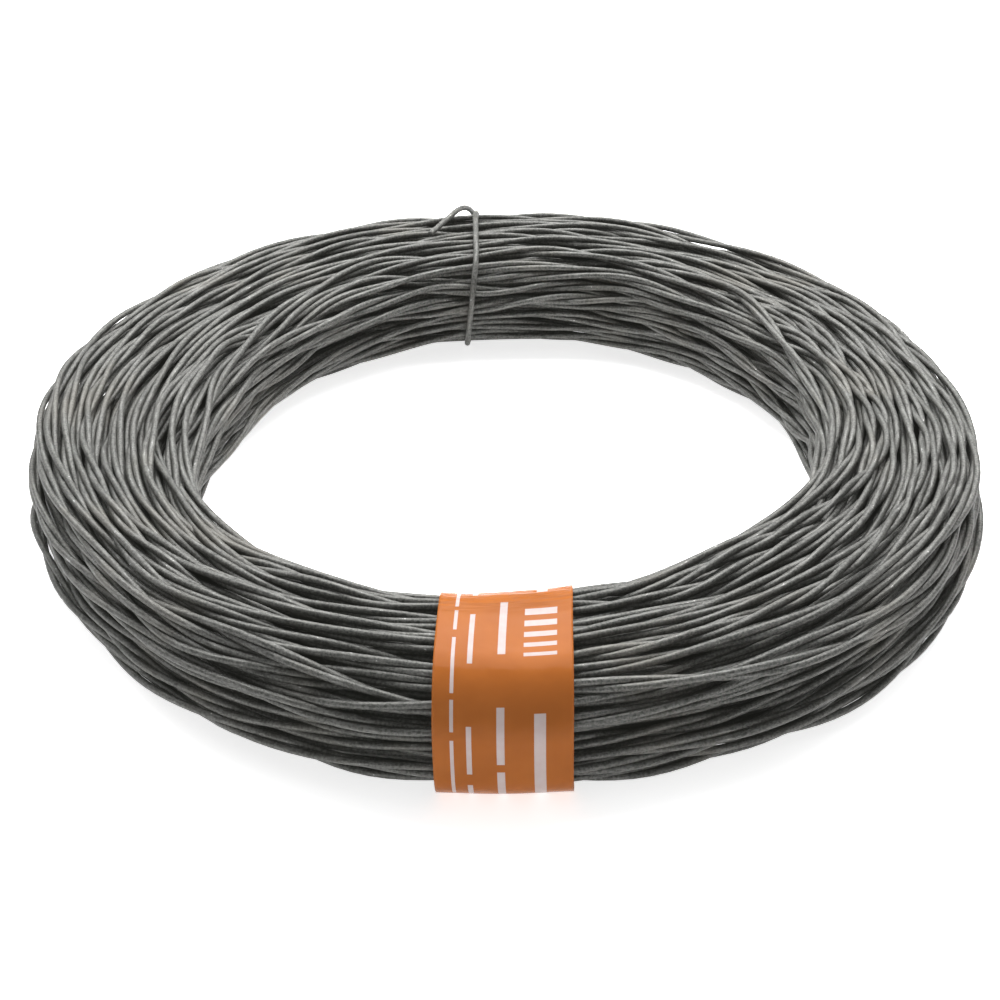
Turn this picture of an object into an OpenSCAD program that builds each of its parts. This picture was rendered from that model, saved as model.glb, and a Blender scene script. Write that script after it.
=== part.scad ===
// Coil of annealed tying wire: a loose bundle of twisted two-strand wire, held by one
// tie of the same wire and carrying a film label wrapped round the bundle.
// The origin is on the coil's axis, on the plane that it lies on.

/* [Wire] */
// Diameter of one strand
wire_d = 1.24; // [0.9:0.02:2.1]

/* [Coil] */
// Diameter of the eye
eye_d = 116; // [90:1:140]
// Width of the bundle's level top and underside
flat_w = 12; // [6:0.5:30]
// Height of the bundle's upright sides
flank_h = 4; // [2:0.5:12]
// Radius of the bundle's round corners
corner_r = 10; // [5:0.5:14]
// How far the lowest turns are pressed flat
rest_flat = 0.05; // [0.03:0.01:0.08]

/* [Tie] */
// Diameter of the tie's wire
tie_d = 1.24; // [0.9:0.02:2.1]
// How far the tie pulls into the bundle
tie_bite = 0.7; // [0.5:0.05:1.2]
// Clearance between the tie and the turns
tie_gap = 0.1; // [0.05:0.05:0.3]
// Distance of the tie from the middle of the coil's back
tie_x = -7.8; // [-20:0.1:20]
// Turn of the tie about the bundle's middle, off the direction of the label
tie_turn = 3; // [-6:0.5:6]
// Straight length of the end that is tucked in under the hook
tuck_l = 1.4; // [0.5:0.1:2]
// Bend radius of the hook
hook_r = 6; // [4:0.5:8]
// How far the hook's wire stands up over the bundle
hook_rise = 0.3; // [0.1:0.1:1.5]
// How far the hook leans along the coil
hook_lean = 2.5; // [0:0.5:5]
// Length of the free tail that lies over the top
tail_l = 17.5; // [10:0.5:22]
// Angle of the tail to the bundle's section
tail_angle = 25; // [0:5:40]

/* [Label] */
// Width of the label strip
label_w = 21; // [15:0.5:40]
// Thickness of the label film
label_t = 0.2; // [0.1:0.05:0.4]
// Clearance between the label and the turns
label_gap = 0.1; // [0.05:0.05:0.3]
// Length of the label's glued lap, on the eye's side
label_lap = 7; // [4:0.5:9]

/* [Hidden] */
$fn = 96;
bundle_w = flat_w + 2 * corner_r;
coil_h = flank_h + 2 * corner_r;
eye_r = eye_d / 2;
rim_r = eye_r + bundle_w;
mid_r = eye_r + bundle_w / 2;

// The twisted pair, in strand diameters: spacing of its strands, reach of a pair that
// stands on edge, pitch between pairs, and how far the bundle's inside fills the grooves
strand_gap = 0.94 * wire_d;
pair_reach = (strand_gap + wire_d) / 2;
pair_pitch = 2.12 * wire_d;
groove_fill = 0.15 * wire_d;
// Turn of one pair against the next, as the twist leaves them
pair_turn = 30;

// The lay: the closed line that the outermost pairs' centres follow in the section
lay_r = corner_r - pair_reach;
lay_rise = flank_h + rest_flat;
lay_arc = 90 * lay_r * PI / 180;
lay_half = flat_w + lay_rise + 2 * lay_arc;
lay_z = (coil_h - rest_flat) / 2;
half_pairs = floor(lay_half / pair_pitch);
lay_step = lay_half / half_pairs;
floor_pair = round(flat_w / 2 / lay_step - 0.5);

// A point on half of the lay and the direction of its outward normal. It runs from the
// eye's side of the floor, round the rim, and the other half is its half turn.
function lay_point(s) =
    s < flat_w ? [-flat_w / 2 + s, -lay_rise / 2 - lay_r, -90]
    : s < flat_w + lay_arc ? lay_corner(-90 + 90 * (s - flat_w) / lay_arc, -lay_rise / 2)
    : s < flat_w + lay_arc + lay_rise ? [flat_w / 2 + lay_r, -lay_rise / 2 + s - flat_w - lay_arc, 0]
    : lay_corner(90 * (s - flat_w - lay_arc - lay_rise) / lay_arc, lay_rise / 2);
function lay_corner(a, rise) = [flat_w / 2 + lay_r * cos(a), rise + lay_r * sin(a), a];

// Rectangle with round corners, from its lowest and highest corners, with the radius of
// its upper corners and of its lower ones
module rounded(low, high, r, foot_r) {
    size = high - low;
    translate([low.x, low.y + foot_r]) square([size.x, size.y - r - foot_r]);
    translate([low.x + r, high.y - r]) square([size.x - 2 * r, r]);
    translate([low.x + foot_r, low.y]) square([size.x - 2 * foot_r, foot_r]);
    for (x = [low.x + r, high.x - r]) translate([x, high.y - r]) circle(r);
    for (x = [low.x + foot_r, high.x - foot_r]) translate([x, low.y + foot_r]) circle(foot_r);
}

// The two strands of one pair, standing at their own angle to the bundle's surface
module strand_pair(place, turn) {
    translate([place.x, place.y]) rotate(place.z + turn)
        for (side = [-1, 1]) translate([side * strand_gap / 2, 0]) circle(d = wire_d);
}

// Section of the coil: the turns at its surface, and the bundle's filled inside
module coil_section() {
    fill = pair_reach - groove_fill;
    fill_r = corner_r - fill;
    intersection() {
        square([rim_r + wire_d, coil_h + wire_d]);
        union() {
            rounded([eye_r + fill, fill - rest_flat], [rim_r - fill, coil_h - fill], fill_r, fill_r);
            translate([mid_r, lay_z]) for (half = [0, 180], k = [0 : half_pairs - 1])
                rotate(half) strand_pair(lay_point((k + 0.5) * lay_step), pair_turn * (k - floor_pair));
        }
    }
}

// Line of the tie's wire round the bundle: level with the lowest turns underneath, and
// pulled into the bundle by its bite on the other sides
tie_low = [eye_r + tie_bite - tie_d / 2, tie_d / 2];
tie_high = [rim_r - tie_bite + tie_d / 2, coil_h - tie_bite + tie_d / 2];
tie_r = corner_r;

// Moves what is drawn at the middle of the coil's back to where the tie sits
module at_tie() {
    translate([tie_x, sqrt(mid_r * mid_r - tie_x * tie_x), 0]) rotate([0, 0, -tie_turn])
        translate([0, -mid_r, 0]) children();
}

// Groove that the tie draws in the bundle
module tie_groove() {
    inset = tie_d / 2 + tie_gap;
    groove_r = tie_r - inset;
    at_tie() rotate([90, 0, 90]) linear_extrude(tie_d + 2 * tie_gap, center = true) difference() {
        translate([eye_r - tie_d, -tie_d]) square([bundle_w + 2 * tie_d, coil_h + 2 * tie_d]);
        rounded(tie_low + [inset, inset], tie_high - [inset, inset], groove_r, groove_r);
    }
}

// Bed under the label, where the coil's weight presses the turns level with it
module label_bed() {
    translate([-label_w / 2 - label_gap, -rim_r - wire_d, -wire_d])
        cube([label_w + 2 * label_gap, bundle_w + 2 * wire_d, wire_d + label_t]);
}

module wire_coil() {
    color("dimgray") difference() {
        rotate_extrude() coil_section();
        tie_groove();
        label_bed();
    }
}

// Points of an arc in the section plane, as [along the coil, radius, height]
function arc(y, z, r, from, to, lean = 0) =
    [for (k = [0 : arc_steps]) let (a = from + (to - from) * k / arc_steps)
        [-lean * k / arc_steps, y + r * cos(a), z + r * sin(a)]];
arc_steps = 6;

// The tie from its tucked end, over the top, down through the eye, under the bundle, up
// outside the tucked end and over the top again as a hook with a free tail
hook_y = tie_high.x + tie_d + tie_gap;
hook_z = coil_h + tie_d / 2 + hook_rise;
rim_rise = tie_low.y + tie_r + (hook_y - tie_high.x) - tie_r * (sqrt(2) - 1);
tie_line = concat(
    [[0, tie_high.x, tie_high.y - tie_r - tuck_l]],
    arc(tie_high.x - tie_r, tie_high.y - tie_r, tie_r, 0, 90),
    arc(tie_low.x + tie_r, tie_high.y - tie_r, tie_r, 90, 180),
    arc(tie_low.x + tie_r, tie_low.y + tie_r, tie_r, 180, 270),
    arc(tie_high.x - tie_r, tie_low.y + tie_r, tie_r, 270, 315),
    [[0, hook_y, rim_rise]],
    arc(hook_y - hook_r, hook_z - hook_r, hook_r, 0, 90, hook_lean),
    [[-hook_lean - tail_l * sin(tail_angle), hook_y - hook_r - tail_l * cos(tail_angle), hook_z]]
);

// Sweeps a round bar of the given diameter along a line of points
module bar(line, d, sides) {
    last = len(line) - 1;
    way = [for (k = [0 : last]) unit(line[min(k + 1, last)] - line[max(k - 1, 0)])];
    ring = [for (k = [0 : last]) let (
        across = unit(cross(way[k], abs(way[k].x) < 0.9 ? [1, 0, 0] : [0, 1, 0])),
        up = cross(across, way[k]))
        for (i = [0 : sides - 1]) let (a = 360 * i / sides) line[k] + d / 2 * (cos(a) * across + sin(a) * up)];
    skin = [for (k = [0 : last - 1], i = [0 : sides - 1]) let (j = (i + 1) % sides)
        [k * sides + i, k * sides + j, (k + 1) * sides + j, (k + 1) * sides + i]];
    caps = [[for (i = [sides - 1 : -1 : 0]) i], [for (i = [0 : sides - 1]) last * sides + i]];
    polyhedron(ring, concat(skin, caps));
}
function unit(v) = v / norm(v);

module tie_wire() {
    color("gray") at_tie() bar(tie_line, tie_d, 12);
}

// Section of the label: one turn of film that is level with the lowest turns underneath,
// with its lap on the eye's side
label_foot_r = 0.8 * corner_r;
module label_section() {
    skin = label_gap + label_t;
    difference() {
        rounded([eye_r - skin, 0], [rim_r + skin, coil_h + skin], corner_r + skin, label_foot_r + label_t);
        rounded([eye_r - label_gap, label_t], [rim_r + label_gap, coil_h + label_gap],
            corner_r + label_gap, label_foot_r);
    }
    translate([eye_r - skin - label_t, coil_h / 2 - label_lap / 2]) square([1.5 * label_t, label_lap]);
}

module label_band() {
    color("darkorange") intersection() {
        rotate_extrude() label_section();
        translate([-label_w / 2, -rim_r - corner_r, -corner_r])
            cube([label_w, rim_r + corner_r, coil_h + 2 * corner_r]);
    }
}

wire_coil();
tie_wire();
label_band();
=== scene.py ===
"""The look of a coil of annealed twisted tying wire, with its hooked tie and its film label."""
import math

import bpy
import numpy as np
from mathutils import Matrix, Vector


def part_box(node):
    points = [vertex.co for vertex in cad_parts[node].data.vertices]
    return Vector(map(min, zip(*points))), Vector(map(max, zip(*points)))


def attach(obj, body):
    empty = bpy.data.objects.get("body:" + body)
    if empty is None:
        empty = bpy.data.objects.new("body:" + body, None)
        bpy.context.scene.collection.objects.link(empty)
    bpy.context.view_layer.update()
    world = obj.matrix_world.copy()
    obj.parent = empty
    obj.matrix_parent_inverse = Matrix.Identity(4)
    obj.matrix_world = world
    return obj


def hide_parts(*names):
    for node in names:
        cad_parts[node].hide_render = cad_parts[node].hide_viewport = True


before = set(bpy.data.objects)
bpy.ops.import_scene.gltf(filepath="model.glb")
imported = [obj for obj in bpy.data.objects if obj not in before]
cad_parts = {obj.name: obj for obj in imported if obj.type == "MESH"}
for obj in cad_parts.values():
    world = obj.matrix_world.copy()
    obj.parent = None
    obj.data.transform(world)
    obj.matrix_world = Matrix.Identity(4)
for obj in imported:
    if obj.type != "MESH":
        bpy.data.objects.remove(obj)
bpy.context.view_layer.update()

# Sizes in millimetres, and places round the coil in radians
MM = 0.001
STRAND_D = 1.24
STRAND_SIDES = 8
# Room between the middles of two twisted pairs, and what two loose pairs take on top of it
PAIR_ROOM = 2.3
LOOSE_ROOM = 0.9
# Turns of the winding, points along each turn, and the length of one twist
TURNS = 113
STATIONS = 180
LAY = 52.0
# The bundle, with its rim and its height from the frame
COIL_BOX = [np.array(corner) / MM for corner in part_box("wire_coil")]
RIM_R = COIL_BOX[1][0]
COIL_H = COIL_BOX[1][2]
EYE_R = 58.0
CORNER_R = 10.0
# The label and the tie, and how far each draws the bundle in, over what spread
LABEL_AT = math.radians(270)
LABEL_W = 21.5
LABEL_DRAW, LABEL_DRAW_SPREAD = 0.5, 0.16
TIE_AT = math.radians(96)
TIE_D = 1.24
TIE_SIDES = 14
TIE_X = -8.1
TIE_TURN = math.radians(1)
TIE_DRAW, TIE_DRAW_SPREAD = 0.9, 0.14
# The side where the turns cross each other most
RESTLESS_AT, RESTLESS_SPREAD = math.radians(5), 0.9
# Where the bundle's eye, rim and top stand out: place and spread in degrees, and amount
EYE_LUMPS = [
    (75, 14, 1.0), (98, 20, -3.0), (137, 20, -6.4), (172, 20, -5.4),
    (222, 30, 4.1), (256, 12, 1.2), (308, 30, -3.2)]
RIM_LUMPS = [
    (28, 16, 1.8), (78, 14, 1.8), (115, 13, 1.8), (135, 16, 1.4),
    (175, 17, 4.6), (248, 30, 1.8), (296, 14, 1.2), (332, 22, 2.6)]
TOP_LUMPS = [(156, 28, -1.0)]
rng = np.random.default_rng(18)


def near(theta, at, spread):
    """1 at one place round the coil, falling to 0 on both sides of it."""
    away = np.angle(np.exp(1j * (theta - at)))
    return np.exp(-((away / spread) ** 2))


def stray(count, length):
    """A smooth random line of unit size, whose bends are about this many points long."""
    freq = np.fft.rfftfreq(count)
    wave = np.fft.rfft(rng.standard_normal(count)) * np.exp(-((freq * length) ** 2))
    line = np.fft.irfft(wave, count)
    return (line - line.mean()) / line.std()


def lumps(theta, places):
    """How far the bundle stands out at each place round the coil."""
    return sum(
        amount * near(theta, math.radians(at), math.radians(spread))
        for at, spread, amount in places)


def bundle_outline(theta):
    """The bundle's section at each place round the coil: eye radius, rim radius, floor and top."""
    by_tie = TIE_DRAW * near(theta, TIE_AT, TIE_DRAW_SPREAD)
    by_label = LABEL_DRAW * near(theta, LABEL_AT, LABEL_DRAW_SPREAD)
    drawn_in = by_tie + by_label
    eye = EYE_R + lumps(theta, EYE_LUMPS) + drawn_in
    rim = RIM_R + lumps(theta, RIM_LUMPS) - drawn_in
    return eye, rim, drawn_in, COIL_H + lumps(theta, TOP_LUMPS) - drawn_in


def seats():
    """Each turn's place in a tidy coil, as shares of its width and height: layer by layer outwards."""
    pitch = 2.62
    eye_margin, floor_margin, far_margin = 1.5, 1.4, 1
    layers = np.arange(EYE_R + eye_margin, RIM_R - far_margin, pitch * math.sqrt(0.75))
    spots = []
    for k, r in enumerate(layers):
        rows = np.arange(floor_margin + (k % 2) * pitch / 2, COIL_H - far_margin, pitch)
        spots += [(r, z) for z in (rows if k % 2 == 0 else rows[::-1])]
    shares = (np.array(spots) - [EYE_R, 0]) / [RIM_R - EYE_R, COIL_H]
    return shares[np.linspace(0, len(spots) - 1, TURNS).round().astype(int)]


def keep_inside(r, z, outline, under):
    """Moves points back to where each lies under the bundle's surface, and says how near it they are."""
    eye, rim, floor, top = outline
    mid_r, mid_z = (eye + rim) / 2, (floor + top) / 2
    flat_r, flat_z = (rim - eye) / 2 - CORNER_R, (top - floor) / 2 - CORNER_R
    side, rise = r - mid_r, z - mid_z
    over_r = np.maximum(np.abs(side) - flat_r, 0)
    over_z = np.maximum(np.abs(rise) - flat_z, 0)
    reach = np.maximum(np.hypot(over_r, over_z), 1e-6)
    pull = np.minimum(1, (CORNER_R - under) / reach)
    side = np.sign(side) * (np.minimum(np.abs(side), flat_r) + over_r * pull)
    rise = np.sign(rise) * (np.minimum(np.abs(rise), flat_z) + over_z * pull)
    surface_from, surface_band = 7, 1.8
    return mid_r + side, mid_z + rise, np.clip((reach - surface_from) / surface_band, 0, 1)


def press_apart(r, z, room, loose):
    """Moves turns apart that share room at a station, and more so where both are loose."""
    step, most = 0.22, 2
    gap_r = r[:, None] - r[None]
    gap_z = z[:, None] - z[None]
    apart = np.sqrt(gap_r**2 + gap_z**2) + 1e-4
    push = step * np.clip((room + loose[:, None] * loose[None]) / apart - 1, 0, most)
    return r + (push * gap_r).sum(1), z + (push * gap_z).sum(1)


def ease(line, times):
    """Takes sharp bends out of the wire along its length."""
    stiffness = 0.06
    flat = line.reshape(-1).copy()
    for _ in range(times):
        bend = flat[4:] - 4 * flat[3:-1] + 6 * flat[2:-2] - 4 * flat[1:-3] + flat[:-4]
        flat[2:-2] -= stiffness * bend
    return flat.reshape(TURNS, STATIONS)


def restless(theta):
    """1 where the turns cross each other most, on the coil's right side, falling to 0."""
    return near(theta, RESTLESS_AT, RESTLESS_SPREAD)


def wound_lines(theta, outline):
    """Radius and height of each turn before it settles: its tidy place, and its drift from there."""
    slow, slow_bend = 3.8, 290
    quick, quick_more, quick_bend = 1.2, 1.3, 100
    eye, rim, floor, top = outline
    tidy = seats()
    count = TURNS * STATIONS
    along = np.arange(count) / STATIONS
    lines = []
    for k, low, high in ((0, eye, rim), (1, floor, top)):
        share = np.interp(along, np.arange(TURNS), tidy[:, k]).reshape(TURNS, STATIONS)
        drift = slow * stray(count, slow_bend)
        drift = drift + (quick + quick_more * np.tile(restless(theta), TURNS)) * stray(count, quick_bend)
        lines.append((low + share * (high - low) + drift.reshape(TURNS, STATIONS)).astype(np.float32))
    return lines


def depth_under(theta):
    """How far under the bundle's surface each turn stays: less so where the label and the tie hold it."""
    cover, sink, held, sink_bend = 0.75, 1.3, 0.8, 80
    label_grip, tie_grip = 0.25, 0.2
    tight = np.maximum(near(theta, LABEL_AT, label_grip), near(theta, TIE_AT, tie_grip))
    sunk = sink * (1 - held * tight) * np.abs(stray(TURNS * STATIONS, sink_bend)).reshape(TURNS, STATIONS)
    return (cover * STRAND_D + sunk).astype(np.float32)


def settle_turns(theta):
    """Radius and height of the twisted wire at each station of each turn."""
    rounds, start_room, growing = 260, 0.3, 0.7
    inward, easing = 0.004, 24
    uneven, spare_bend, least, most = 0.4, 120, 0.3, 1.4
    kink, kink_bend, label_press = 0.2, 15, 0.2
    count = TURNS * STATIONS
    eye, rim, floor, top = outline = [edge.astype(np.float32) for edge in bundle_outline(theta)]
    r, z = wound_lines(theta, outline)
    under = depth_under(theta)
    spare = np.clip(1 + uneven * stray(count, spare_bend), least, most) * math.sqrt(LOOSE_ROOM)
    spare = spare.reshape(TURNS, STATIONS).astype(np.float32)
    wide = np.sqrt((rim - eye) / (RIM_R - EYE_R))
    r, z, surface = keep_inside(r, z, outline, under)
    for k in range(rounds):
        grown = min(1, start_room + k / (growing * rounds))
        r, z = press_apart(r, z, grown * PAIR_ROOM * wide, spare * surface * wide)
        gather = inward * (1 - grown)
        r, z = r + gather * ((eye + rim) / 2 - r), z + gather * ((floor + top) / 2 - z)
        r, z, surface = keep_inside(r, z, outline, under)
        r, z = ease(r, easing), ease(z, easing)
    free = 1 - near(theta, LABEL_AT, label_press)
    kinks = [kink * free * stray(count, kink_bend).reshape(TURNS, STATIONS) for _ in range(2)]
    return r.astype(float) + kinks[0], np.maximum(z + kinks[1], STRAND_D)


def twist_strands(theta, r, z):
    """The two strands' centre lines, laid round the wire's own line, each as an array of points."""
    slack, tighter = 1.1, 0.35
    uneven, lay_bend, least, most = 0.25, 200, 0.6, 1.6
    half_gap, gap_more, gap_bend = 0.49, 0.04, 50
    count = TURNS * STATIONS
    angle = np.tile(theta, TURNS)
    radius, height = r.reshape(-1), z.reshape(-1)
    lay = LAY * (slack - tighter * np.tile(restless(theta), TURNS))
    lay = lay * np.clip(1 + uneven * stray(count, lay_bend), least, most)
    phase = np.cumsum(2 * math.pi * radius * (2 * math.pi / STATIONS) / lay)
    strands = []
    for start in (0, math.pi):
        apart = STRAND_D * (half_gap + gap_more * np.maximum(stray(count, gap_bend), 0))
        out = radius + apart * np.cos(phase + start)
        up = np.maximum(height + apart * np.sin(phase + start), STRAND_D / 2)
        strands.append(np.stack([out * np.cos(angle), out * np.sin(angle), up], axis=1))
    return strands


def add_mesh(name, points, faces, uv=None):
    """A smooth-shaded mesh object from arrays in millimetres, with a UV pair for each face corner."""
    mesh = bpy.data.meshes.new(name)
    mesh.vertices.add(len(points))
    mesh.vertices.foreach_set("co", (points * MM).astype(np.float32).ravel())
    corners = faces.shape[1]
    mesh.loops.add(faces.size)
    mesh.loops.foreach_set("vertex_index", faces.astype(np.int32).ravel())
    mesh.polygons.add(len(faces))
    mesh.polygons.foreach_set("loop_start", np.arange(0, faces.size, corners, dtype=np.int32))
    mesh.polygons.foreach_set("use_smooth", np.ones(len(faces), dtype=bool))
    if uv is not None:
        layer = mesh.uv_layers.new(name="lay")
        layer.data.foreach_set("uv", uv.astype(np.float32).ravel())
    mesh.update()
    mesh.validate()
    obj = bpy.data.objects.new(name, mesh)
    bpy.context.scene.collection.objects.link(obj)
    return obj


def bar_skin(line, width, sides, guide):
    """Points, faces and UVs of a round bar along a line of points. U runs along it, V round it."""
    way = np.gradient(line, axis=0)
    way /= np.linalg.norm(way, axis=1)[:, None]
    across = np.cross(way, guide)
    across /= np.linalg.norm(across, axis=1)[:, None]
    up = np.cross(across, way)
    turn = np.linspace(0, 2 * math.pi, sides, endpoint=False)
    ring = np.cos(turn)[None, :, None] * across[:, None] + np.sin(turn)[None, :, None] * up[:, None]
    half = np.broadcast_to(np.asarray(width) / 2, len(line))[:, None, None]
    points = (line[:, None] + half * ring).reshape(-1, 3)
    k, i = np.meshgrid(np.arange(len(line) - 1), np.arange(sides), indexing="ij")
    j = (i + 1) % sides
    faces = np.stack([k * sides + i, (k + 1) * sides + i, (k + 1) * sides + j, k * sides + j], axis=-1)
    run = np.concatenate([[0], np.cumsum(np.linalg.norm(np.diff(line, axis=0), axis=1))]) * MM
    corners = [(run[k], i), (run[k + 1], i), (run[k + 1], i + 1), (run[k], i + 1)]
    uv = np.stack([np.stack([u, v / sides], axis=-1) for u, v in corners], axis=2)
    k = np.arange(sides // 2 - 1)
    cap = np.stack([sides - 1 - k, sides - 2 - k, k + 1, k], axis=1)
    faces = np.concatenate([faces.reshape(-1, 4), cap[:, ::-1], cap + (len(line) - 1) * sides])
    cut_ends = np.repeat([[run[0], 0.5], [run[-1], 0.5]], cap.size, axis=0)
    return points, faces, np.concatenate([uv.reshape(-1, 2), cut_ends])


def join_skins(skins):
    """Several bars' points, faces and UVs as one set."""
    points, faces, uvs, base = [], [], [], 0
    for part_points, part_faces, part_uv in skins:
        points.append(part_points)
        faces.append(part_faces + base)
        uvs.append(part_uv)
        base += len(part_points)
    return np.concatenate(points), np.concatenate(faces), np.concatenate(uvs)


def belongs(obj, node, material):
    """Makes a piece stand for a CAD node, and gives it its finish."""
    obj.data.materials.append(material)
    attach(obj, "root")
    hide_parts(node)


class Graph:
    """Adds and joins the nodes of one material or node group."""

    def __init__(self, tree):
        self.tree = tree

    def node(self, kind, settings=None, **inputs):
        """A node with its settings, and its inputs given as values or as the sockets that feed them."""
        made = self.tree.nodes.new(kind)
        for name, value in (settings or {}).items():
            setattr(made, name, value)
        for name, value in inputs.items():
            key = int(name[1:]) if name[1:].isdigit() else name.replace("_", " ")
            socket = made.inputs[key]
            if isinstance(value, bpy.types.NodeSocket):
                self.tree.links.new(value, socket)
            else:
                socket.default_value = value
        return made

    def math(self, operation, *values, clamp=False):
        """One sum of numbers or sockets."""
        inputs = {f"i{k}": value for k, value in enumerate(values)}
        settings = {"operation": operation, "use_clamp": clamp}
        return self.node("ShaderNodeMath", settings, **inputs).outputs[0]

    def noise(self, place, scale, detail=2.0, rough=0.5):
        """Noise from 0 to 1 at a place."""
        made = self.node("ShaderNodeTexNoise", Vector=place, Scale=scale, Detail=detail, Roughness=rough)
        return made.outputs["Fac"]

    def band(self, value, low, high):
        """0 below the low value, 1 above the high one, and smooth between them."""
        made = self.node("ShaderNodeMapRange", {"interpolation_type": "SMOOTHSTEP"}, Value=value)
        made.inputs["From Min"].default_value = low
        made.inputs["From Max"].default_value = high
        return made.outputs["Result"]

    def blend(self, share, first, second, kind="MIX"):
        """One colour over another, by share."""
        made = self.node("ShaderNodeMix", {"data_type": "RGBA", "blend_type": kind}, Factor=share)
        for name, value in (("A", first), ("B", second)):
            socket = next(s for s in made.inputs if s.name == name and s.type == "RGBA")
            if isinstance(value, bpy.types.NodeSocket):
                self.tree.links.new(value, socket)
            else:
                socket.default_value = (*value, 1)
        return next(s for s in made.outputs if s.type == "RGBA")


def new_material(name):
    """A material with its own graph and its shader."""
    material = bpy.data.materials.new(name)
    material.use_nodes = True
    return material, Graph(material.node_tree), material.node_tree.nodes["Principled BSDF"]


def steel_skin():
    """Node group for drawn, annealed wire: grain, drawing marks, oxide patches, and rubbed specks of bare
    steel painted near-white as glints (painted highlights).
    """
    group = bpy.data.node_groups.new("steel_skin", "ShaderNodeTree")
    sockets = {"Color": "NodeSocketColor", "Roughness": "NodeSocketFloat", "Height": "NodeSocketFloat"}
    for name, kind in sockets.items():
        group.interface.new_socket(name, in_out="OUTPUT", socket_type=kind)
    g = Graph(group)
    place = g.node("ShaderNodeTexCoord").outputs["Object"]
    lay = g.node("ShaderNodeUVMap", {"uv_map": "lay"}).outputs["UV"]
    along = g.node("ShaderNodeMapping", Vector=lay, Scale=(260, 7, 1)).outputs["Vector"]
    turn = g.node("ShaderNodeMapping", Vector=lay, Scale=(14, 0, 1)).outputs["Vector"]
    grain = g.noise(place, 2300, 3)
    marks = g.noise(along, 1.0, 2)
    patch = g.noise(place, 70, 3)
    tone = g.noise(turn, 1.0, 2)
    dark, mid, pale = (0.041, 0.041, 0.038), (0.12, 0.12, 0.112), (0.19, 0.19, 0.181)
    oxide, worn_glint = (0.13, 0.12, 0.1), (0.6, 0.6, 0.58)
    color = g.blend(g.band(grain, 0.36, 0.64), dark, mid)
    color = g.blend(g.math("MULTIPLY", g.band(marks, 0.45, 0.75), 0.6), color, pale)
    color = g.blend(g.math("MULTIPLY", g.band(patch, 0.5, 0.75), 0.35), color, oxide)
    shade = g.math("MULTIPLY_ADD", tone, 0.9, 0.55)
    grey = g.node("ShaderNodeCombineColor", i0=shade, i1=shade, i2=shade).outputs[0]
    color = g.blend(1.0, color, grey, "MULTIPLY")
    # Rubbed specks of bare steel, painted near-white so they also stand in for glints: painted highlights
    glint_flecks = g.math("MULTIPLY", g.band(marks, 0.66, 0.72), g.band(grain, 0.58, 0.66))
    color = g.blend(glint_flecks, color, worn_glint)
    rough = g.math("MULTIPLY_ADD", grain, 0.3, 0.44)
    height = g.math("ADD", grain, g.math("MULTIPLY", marks, 0.8))
    out = g.node("NodeGroupOutput")
    for name, value in (("Color", color), ("Roughness", rough), ("Height", height)):
        group.links.new(value, out.inputs[name])
    return group


def steel_material(name, skin):
    """Dark annealed steel with the skin of drawn wire."""
    material, g, shader = new_material(name)
    surface = g.node("ShaderNodeGroup", {"node_tree": skin})
    bump = g.node("ShaderNodeBump", Height=surface.outputs["Height"], Strength=0.6, Distance=0.00005)
    shader.inputs["Metallic"].default_value = 0.5
    g.tree.links.new(surface.outputs["Color"], shader.inputs["Base Color"])
    g.tree.links.new(surface.outputs["Roughness"], shader.inputs["Roughness"])
    g.tree.links.new(bump.outputs["Normal"], shader.inputs["Normal"])
    return material


def printed_line(g, u, v, place, half_width, dashes):
    """Ink of one row of plain dashes along the film, each from one run to another, in millimetres."""
    row = 0.0
    for first, last in dashes:
        dash = g.math("COMPARE", v, (first + last) / 2 * MM, (last - first) / 2 * MM)
        row = g.math("MAXIMUM", row, dash)
    return g.math("MULTIPLY", row, g.math("COMPARE", u, place * MM, half_width * MM))


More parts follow.
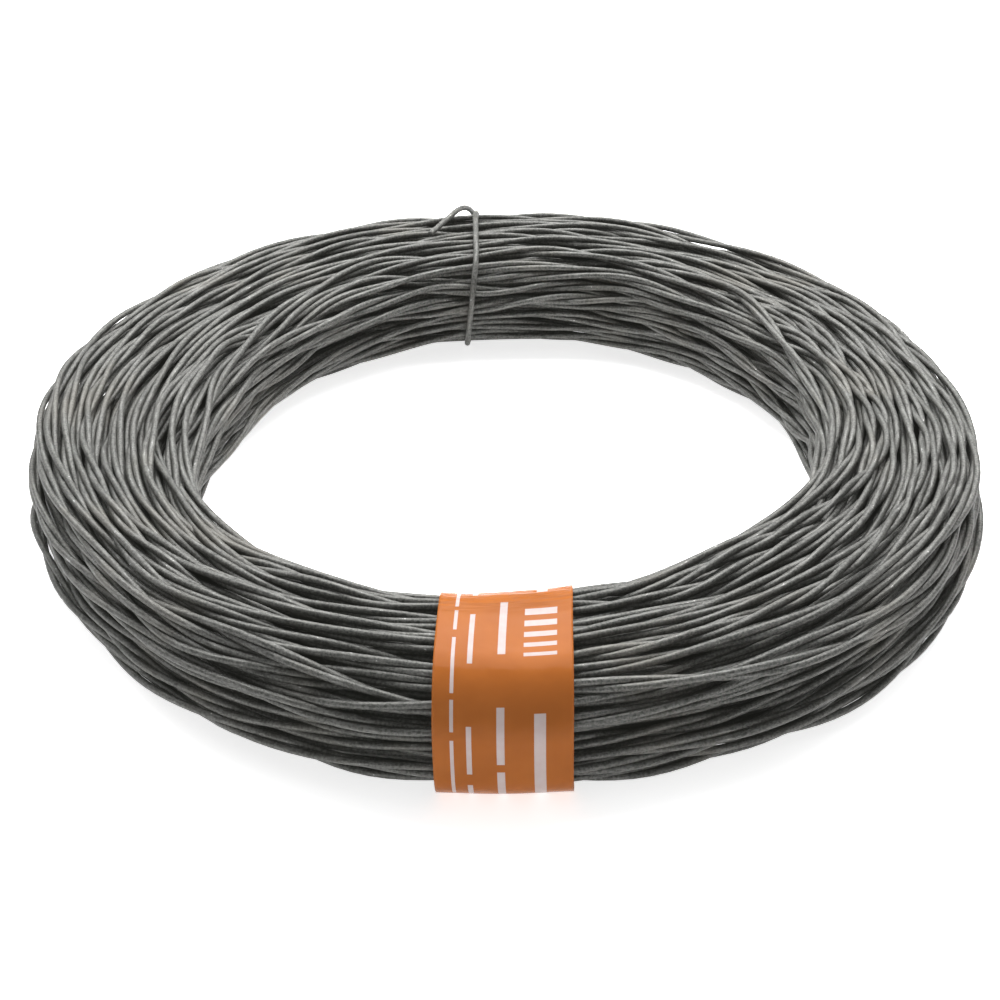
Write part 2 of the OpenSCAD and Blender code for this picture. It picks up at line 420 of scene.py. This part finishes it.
def film_material():
    """Glossy orange film with rows of plain dashes and a stack of bars printed in white."""
    material, g, shader = new_material("label_film")
    uv = g.node("ShaderNodeUVMap", {"uv_map": "lay"}).outputs["UV"]
    spot = g.node("ShaderNodeSeparateXYZ", Vector=uv)
    u, v = spot.outputs[0], spot.outputs[1]
    small = [(2, 12), (13, 21), (22, 27), (29, 40), (41, 46), (47.5, 60), (61, 74), (76, 82), (83, 97)]
    large = [(4, 15), (20, 33), (42, 52), (53.5, 66), (72, 88)]
    stack = [(22, 23.6), (25, 26.4), (27.8, 29), (30.4, 31.4), (32.8, 33.6)]
    repeat = 53
    # Each row's place across the film, half its width, and its dashes
    rows = [
        (-7.8, 0.28, small),
        (-5.2, 0.4, [(first + 3, last + 2) for first, last in large]),
        (-0.4, 0.6, large),
        (5.6, 2.6, stack + [(first + repeat, last + repeat) for first, last in stack]),
        (5.6, 0.9, [(0, 17), (43, 68)]),
    ]
    ink = 0.0
    for across, half_width, dashes in rows:
        ink = g.math("MAXIMUM", ink, printed_line(g, u, v, across, half_width, dashes))
    film, pale_film, white_ink = (0.29, 0.085, 0.015), (0.325, 0.099, 0.019), (0.44, 0.385, 0.38)
    place = g.node("ShaderNodeTexCoord").outputs["Object"]
    blotch = g.noise(place, 120, 3)
    base = g.blend(g.band(blotch, 0.35, 0.7), film, pale_film)
    cover = g.math("MULTIPLY_ADD", g.noise(place, 900, 3), 0.25, 0.78, clamp=True)
    color = g.blend(g.math("MULTIPLY", ink, cover), base, white_ink)
    g.tree.links.new(color, shader.inputs["Base Color"])
    g.tree.links.new(g.math("MULTIPLY_ADD", blotch, 0.1, 0.1), shader.inputs["Roughness"])
    shader.inputs["Specular IOR Level"].default_value = 0.04
    fold = g.noise(g.node("ShaderNodeMapping", Vector=uv, Scale=(70, 620, 1)).outputs["Vector"], 1.0, 3)
    creases = g.math("MULTIPLY", fold, g.math("SUBTRACT", 1.0, g.band(v, 17 * MM, 24 * MM)))
    waves = g.math("ADD", g.noise(place, 150, 2), g.math("MULTIPLY", creases, 3.5))
    bump = g.node("ShaderNodeBump", Height=waves, Strength=0.6, Distance=0.0005)
    g.tree.links.new(bump.outputs["Normal"], shader.inputs["Normal"])
    return material


def add_winding(material):
    """The whole winding as five lengths of twisted wire."""
    theta = LABEL_AT + np.linspace(0, 2 * math.pi, STATIONS, endpoint=False)
    r, z = settle_turns(theta)
    strands = twist_strands(theta, r, z)
    lengths = 5
    cuts = np.linspace(0, TURNS, lengths + 1).round().astype(int) * STATIONS
    for k in range(lengths):
        lines = [strand[cuts[k]: cuts[k + 1] + 1] for strand in strands]
        skins = [bar_skin(line, STRAND_D, STRAND_SIDES, (0, 0, 1)) for line in lines]
        winding = add_mesh(f"wire_turns_{k + 1}", *join_skins(skins))
        belongs(winding, "wire_coil", material)


def arc(y, z, radius, first, last):
    """Points of a bend in the tie's own plane: along the coil, outwards and up."""
    angle = np.radians(np.linspace(first, last, 11))
    return np.stack([0 * angle, y + radius * np.cos(angle), z + radius * np.sin(angle)], axis=1)


def add_tie(material):
    """The tie from its tucked end, round the bundle, and up outside as a hook with a free tail."""
    bite, gap, turn = 0.7, 0.1, CORNER_R
    tuck_l, hook_rise, hook_lean, tail_l = 1.4, 0.2, 4.7, 12.6
    burr_l, burr_share = 0.12, 0.75
    mid_r = (EYE_R + RIM_R) / 2
    low_y, low_z = EYE_R + bite - TIE_D / 2, TIE_D / 2
    high_y, high_z = RIM_R - bite + TIE_D / 2, COIL_H - bite + TIE_D / 2
    hook_y, hook_z = high_y + TIE_D + gap, COIL_H + TIE_D / 2 + hook_rise
    mid = np.array([0, high_y - turn, high_z - turn])
    lean = np.array([-hook_lean, mid[1] - hook_y, 0])
    way = np.radians(np.linspace(0, 90, 15))[:, None]
    foot = mid + [0, hook_y - mid[1], 0]
    hook = foot + (1 - np.cos(way)) * lean + np.sin(way) * [0, 0, hook_z - mid[2]]
    share = np.linspace(0, 1, 12)[1:, None]
    round_bundle = np.concatenate([
        [[0, high_y, high_z - turn - tuck_l]],
        arc(high_y - turn, high_z - turn, turn, 0, 90),
        arc(low_y + turn, high_z - turn, turn, 90, 180),
        arc(low_y + turn, low_z + turn, turn, 180, 270),
        arc(high_y - turn, low_z + turn, turn, 270, 315),
        [[0, hook_y, low_z + turn + hook_y - high_y - turn * (math.sqrt(2) - 1)]],
    ])
    slant_from, slant_margin, slant = 8, 2, (-1.0, 0.8)
    eye_side = np.clip((mid_r - round_bundle[:, 1]) / slant_from, 0, 1)
    slant_z = (slant_margin, COIL_H - slant_margin)
    round_bundle[:, 0] += eye_side * np.interp(round_bundle[:, 2], slant_z, slant)
    inner = np.clip((RIM_R - round_bundle[:, 1]) / (RIM_R - EYE_R), 0, 1)
    round_bundle[:, 1] += lumps(TIE_AT, EYE_LUMPS) * inner
    tail = hook[-1] + tail_l * share * lean / np.linalg.norm(lean)
    line = np.concatenate([round_bundle, hook, tail])
    first, last = line[0] - line[1], line[-1] - line[-2]
    start = line[0] + burr_l * first / np.linalg.norm(first)
    end = line[-1] + burr_l * last / np.linalg.norm(last)
    line = np.concatenate([[start], line, [end]])
    width = np.full(len(line), TIE_D)
    width[[0, -1]] *= burr_share
    x, y = line[:, 0].copy(), line[:, 1] - mid_r
    line[:, 0] = TIE_X + x * math.cos(TIE_TURN) + y * math.sin(TIE_TURN)
    line[:, 1] = math.sqrt(mid_r**2 - TIE_X**2) - x * math.sin(TIE_TURN) + y * math.cos(TIE_TURN)
    tie = add_mesh("tie", *bar_skin(line, width, TIE_SIDES, (1, 0, 0)))
    belongs(tie, "tie_wire", material)


def label_path():
    """The film's line round the bundle, as radius and height, from the eye's side over the top."""
    skin, foot, floor_gap, step = 0.2, 8.1, 0.1, 0.6
    mid_z = COIL_H / 2
    eye, rim, top, turn = EYE_R - skin, RIM_R + skin, COIL_H + skin, CORNER_R + skin
    share = np.linspace(0, 1, 17)
    bends = [(eye + turn, top - turn, turn, 180, 90), (rim - turn, top - turn, turn, 90, 0),
             (rim - foot, foot + floor_gap, foot, 0, -90), (eye + foot, foot + floor_gap, foot, -90, -180)]
    points = []
    for y, z, radius, first, last in bends:
        angle = np.radians(first + (last - first) * share)
        points.append(np.stack([y + radius * np.cos(angle), z + radius * np.sin(angle)], axis=1))
    start = [[eye, mid_z - 2.5]]
    lap = [[eye, mid_z - 3], [eye - 0.2, mid_z - 1], [eye - 0.25, mid_z + 3.4]]
    line = np.concatenate([start, *points, lap])
    run = np.concatenate([[0], np.cumsum(np.linalg.norm(np.diff(line, axis=0), axis=1))])
    steps = np.arange(0, run[-1], step)
    return steps, np.stack([np.interp(steps, run, line[:, k]) for k in (0, 1)], axis=1)


def add_label(material):
    """The film label, wrapped round the bundle with a lap on the eye's side, slack and rippled."""
    bow_size, bow_mid, bow_reach, bow_most, bow_shift = 0.65, 38, 24, 1.2, 0.1
    slack, curl, clear, lowest, film_t = 0.6, 0.12, 0.05, 0.02, 0.12
    # Each ripple's size, its lengths along and across the film, and its start
    ripples = [(0.05, 3.1, 6.0, 0.4), (0.04, 1.7, 3.4, 1.9), (0.05, 6.3, 2.6, 2.7)]
    run, line = label_path()
    way = np.gradient(line, axis=0)
    way /= np.linalg.norm(way, axis=1)[:, None]
    out = np.stack([-way[:, 1], way[:, 0]], axis=1)
    x = np.linspace(-LABEL_W / 2, LABEL_W / 2, 43)
    bow = bow_size * np.minimum(((run - bow_mid) / bow_reach) ** 2, bow_most) - bow_shift
    ripple = sum(
        size * np.outer(np.sin(run / long + turn), np.cos(x / wide + turn))
        for size, long, wide, turn in ripples)
    edge = curl * (np.abs(x) / (LABEL_W / 2)) ** 6
    lift = ripple * slack + edge[None] + clear
    side = x[None] + bow[:, None]
    radius = line[:, None, 0] + lift * out[:, None, 0]
    height = np.maximum(line[:, None, 1] + lift * out[:, None, 1], lowest)
    wrap = side / radius
    outer = (radius - EYE_R) / (RIM_R - EYE_R)
    radius += (1 - outer) * lumps(LABEL_AT + wrap, EYE_LUMPS) + outer * lumps(LABEL_AT + wrap, RIM_LUMPS)
    points = np.stack([radius * np.sin(wrap), -radius * np.cos(wrap), height], axis=-1)
    rows, cols = points.shape[:2]
    k, i = np.meshgrid(np.arange(rows - 1), np.arange(cols - 1), indexing="ij")
    corners = [(k, i), (k + 1, i), (k + 1, i + 1), (k, i + 1)]
    faces = np.stack([a * cols + b for a, b in corners], axis=-1)
    uv = np.stack([np.stack([x[b] * MM, run[a] * MM], axis=-1) for a, b in corners], axis=2)
    label = add_mesh("label", points.reshape(-1, 3), faces.reshape(-1, 4), uv.reshape(-1, 2))
    thick = label.modifiers.new("film", "SOLIDIFY")
    thick.thickness = film_t * MM
    thick.offset = -1
    belongs(label, "label_band", material)


def add_light(name, place, size, energy):
    """A soft box that faces the coil."""
    lamp = bpy.data.lights.new(name, "AREA")
    lamp.shape = "RECTANGLE"
    lamp.size, lamp.size_y = size
    lamp.energy = energy
    box = bpy.data.objects.new(name, lamp)
    box.location = place
    box.rotation_euler = (Vector((0, 0, 0.01)) - Vector(place)).to_track_quat("-Z", "Y").to_euler()
    bpy.context.scene.collection.objects.link(box)


def add_stage():
    """Pale floor and soft studio light from both sides and above."""
    bpy.ops.mesh.primitive_plane_add(size=6)
    floor = bpy.context.object
    floor.name = "floor"
    paint, g, shader = new_material("floor_white")
    haze = g.noise(g.node("ShaderNodeTexCoord").outputs["Object"], 3, 2)
    g.tree.links.new(g.blend(haze, (0.88, 0.88, 0.88), (0.92, 0.92, 0.92)), shader.inputs["Base Color"])
    shader.inputs["Roughness"].default_value = 0.9
    shader.inputs["Emission Color"].default_value = (1, 1, 1, 1)
    shader.inputs["Emission Strength"].default_value = 0.74
    floor.data.materials.append(paint)
    world = bpy.data.worlds.new("studio")
    bpy.context.scene.world = world
    world.use_nodes = True
    g = Graph(world.node_tree)
    way = g.node("ShaderNodeTexCoord").outputs["Generated"]
    toward = g.node("ShaderNodeSeparateXYZ", Vector=way).outputs[1]
    sky = g.blend(g.band(toward, -0.7, 0.4), (0.28, 0.28, 0.28), (0.42, 0.42, 0.42))
    g.tree.links.new(sky, world.node_tree.nodes["Background"].inputs["Color"])
    add_light("overhead", (0, 0.2, 0.36), (0.6, 0.4), 6.2)
    add_light("left", (-0.6, 0.2, 0.5), (0.4, 0.35), 1.2)
    add_light("right", (0.6, 0.2, 0.5), (0.4, 0.35), 0.6)


def add_camera():
    """The camera, fitted to the coil's outline in the photograph."""
    lens = bpy.data.cameras.new("camera")
    lens.lens = 70.2
    lens.sensor_width = 36
    lens.shift_x = -0.0077
    lens.shift_y = -0.0534
    lens.clip_start = 0.01
    camera = bpy.data.objects.new("camera", lens)
    tilt = math.radians(31.5)
    away = 0.377
    camera.matrix_world = (
        Matrix.Translation((0, -away * math.cos(tilt), 0.012 + away * math.sin(tilt)))
        @ Matrix.Rotation(math.pi / 2 - tilt, 4, "X")
        @ Matrix.Rotation(math.radians(0.9), 4, "Z")
    )
    bpy.context.scene.collection.objects.link(camera)
    bpy.context.scene.camera = camera
    view = bpy.context.scene.view_settings
    view.view_transform = "Standard"
    view.use_curve_mapping = True
    view.curve_mapping.black_level = (-0.0078, -0.008, -0.0068)
    view.curve_mapping.update()


add_camera()
add_stage()
skin = steel_skin()
add_winding(steel_material("annealed_steel", skin))
add_tie(steel_material("tie_steel", skin))
add_label(film_material())
